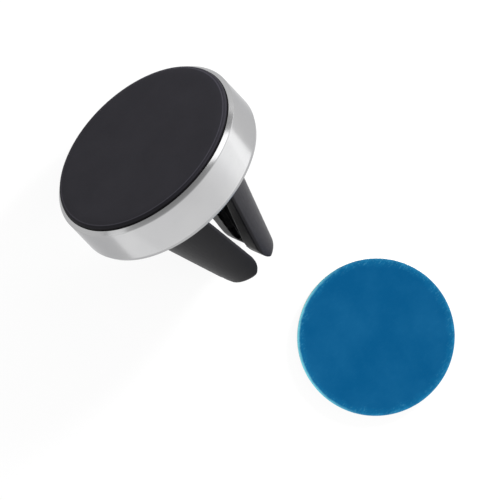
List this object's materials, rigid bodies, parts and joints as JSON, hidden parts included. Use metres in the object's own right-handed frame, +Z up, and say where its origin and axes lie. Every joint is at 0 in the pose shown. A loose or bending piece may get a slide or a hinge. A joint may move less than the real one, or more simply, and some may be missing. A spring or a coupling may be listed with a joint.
{
  "type": "car phone mount",
  "caption": "Round magnetic phone mount with a metal trim ring and a tapered slotted rubber vent clip, lying beside its steel phone plate.",
  "frame": {"origin": "centre of the whole set's box at its base, on the surface that the set lies on", "axes": "+Z up from the table; +Y along the mount's axis as seen from above, from the face pad to the prong tips and on to the phone plate; +X to the side, square to both"},
  "size_m": [0.0422, 0.0834, 0.0387],
  "materials": {
    "ring_metal": "satin, turned",
    "pad_rubber": "matte",
    "clip_rubber": "matte",
    "moulded_plastic": "fine moulded grain",
    "magnet_nickel": "nickel plated",
    "plain_steel": "plain",
    "adhesive_film": "soft, slightly yellow",
    "blue_film": "glossy protective film",
    "liner_paper": "waxed paper"
  },
  "bodies": {
    "head": {"trim_ring": "ring_metal", "face_pad": "pad_rubber", "pad_adhesive": "adhesive_film", "magnet_carrier": "moulded_plastic", "magnet_1": "magnet_nickel", "magnet_2": "magnet_nickel", "magnet_3": "magnet_nickel", "magnet_4": "magnet_nickel", "yoke_plate": "plain_steel", "carrier_screws": "plain_steel", "rear_cover": "moulded_plastic", "spring_washer": "plain_steel"},
    "clip": {"clip_hub": "moulded_plastic", "hub_boot": "clip_rubber", "swivel_screw": "plain_steel", "flat_washer": "plain_steel"},
    "prong_1": {"finger_1": "moulded_plastic", "sleeve_1": "clip_rubber"},
    "prong_2": {"finger_2": "moulded_plastic", "sleeve_2": "clip_rubber"},
    "prong_3": {"finger_3": "moulded_plastic", "sleeve_3": "clip_rubber"},
    "prong_4": {"finger_4": "moulded_plastic", "sleeve_4": "clip_rubber"},
    "plate": {"phone_plate": "plain_steel", "plate_film": "blue_film", "plate_adhesive": "adhesive_film", "plate_liner": "liner_paper"}
  },
  "joints": [
    {"name": "clip_swivel", "type": "hinge", "parent": "head", "child": "clip", "pos_m": [0.0011, -0.02287, 0.01645], "axis": [0, 0.8804, -0.4741], "continuous": true},
    {"name": "prong_1_flex", "type": "hinge", "parent": "clip", "child": "prong_1", "pos_m": [-0.00897, -0.01765, 0.02065], "axis": [0.5225, 0.4043, 0.7507], "range_deg": [0, 4], "stiffness_Nm_per_rad": 1.2},
    {"name": "prong_2_flex", "type": "hinge", "parent": "clip", "child": "prong_2", "pos_m": [0.00727, -0.0158, 0.02408], "axis": [0.8526, -0.2477, -0.46], "range_deg": [0, 4], "stiffness_Nm_per_rad": 1.2},
    {"name": "prong_3_flex", "type": "hinge", "parent": "clip", "child": "prong_3", "pos_m": [0.01117, -0.02351, 0.00978], "axis": [-0.5225, -0.4043, -0.7507], "range_deg": [0, 4], "stiffness_Nm_per_rad": 1.2},
    {"name": "prong_4_flex", "type": "hinge", "parent": "clip", "child": "prong_4", "pos_m": [-0.00507, -0.02536, 0.00634], "axis": [-0.8526, 0.2477, 0.46], "range_deg": [0, 4], "stiffness_Nm_per_rad": 1.2},
    {"name": "mount_lift", "type": "slide", "parent": "plate", "child": "head", "axis": [0, 0, 1], "range_m": [0, 0.04]}
  ]
}
